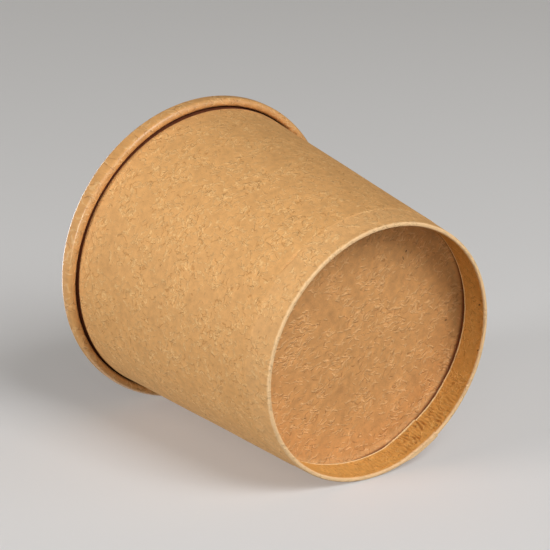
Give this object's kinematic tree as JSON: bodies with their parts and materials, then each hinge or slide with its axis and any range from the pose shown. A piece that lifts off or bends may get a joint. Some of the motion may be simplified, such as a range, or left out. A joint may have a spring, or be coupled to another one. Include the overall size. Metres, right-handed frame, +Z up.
{
  "type": "paper soup container",
  "caption": "Round tapered paperboard soup container, open at the top, with a rolled rim bead, a lapped side seam and a recessed bottom disc held in a folded hem.",
  "frame": {"origin": "centre of the base edge, on the surface that the container stands on", "axes": "+Z up along the axis of revolution, out of the mouth; the side seam lies at -Y"},
  "size_m": [0.09, 0.09, 0.086],
  "materials": {
    "wall_board": "uncoated brown kraft board, matt, with fine curled fibres",
    "disc_board": "uncoated brown kraft board, matt, with fine curled fibres"
  },
  "bodies": {
    "root": {"sidewall": "wall_board", "bottom_disc": "disc_board"}
  },
  "joints": []
}
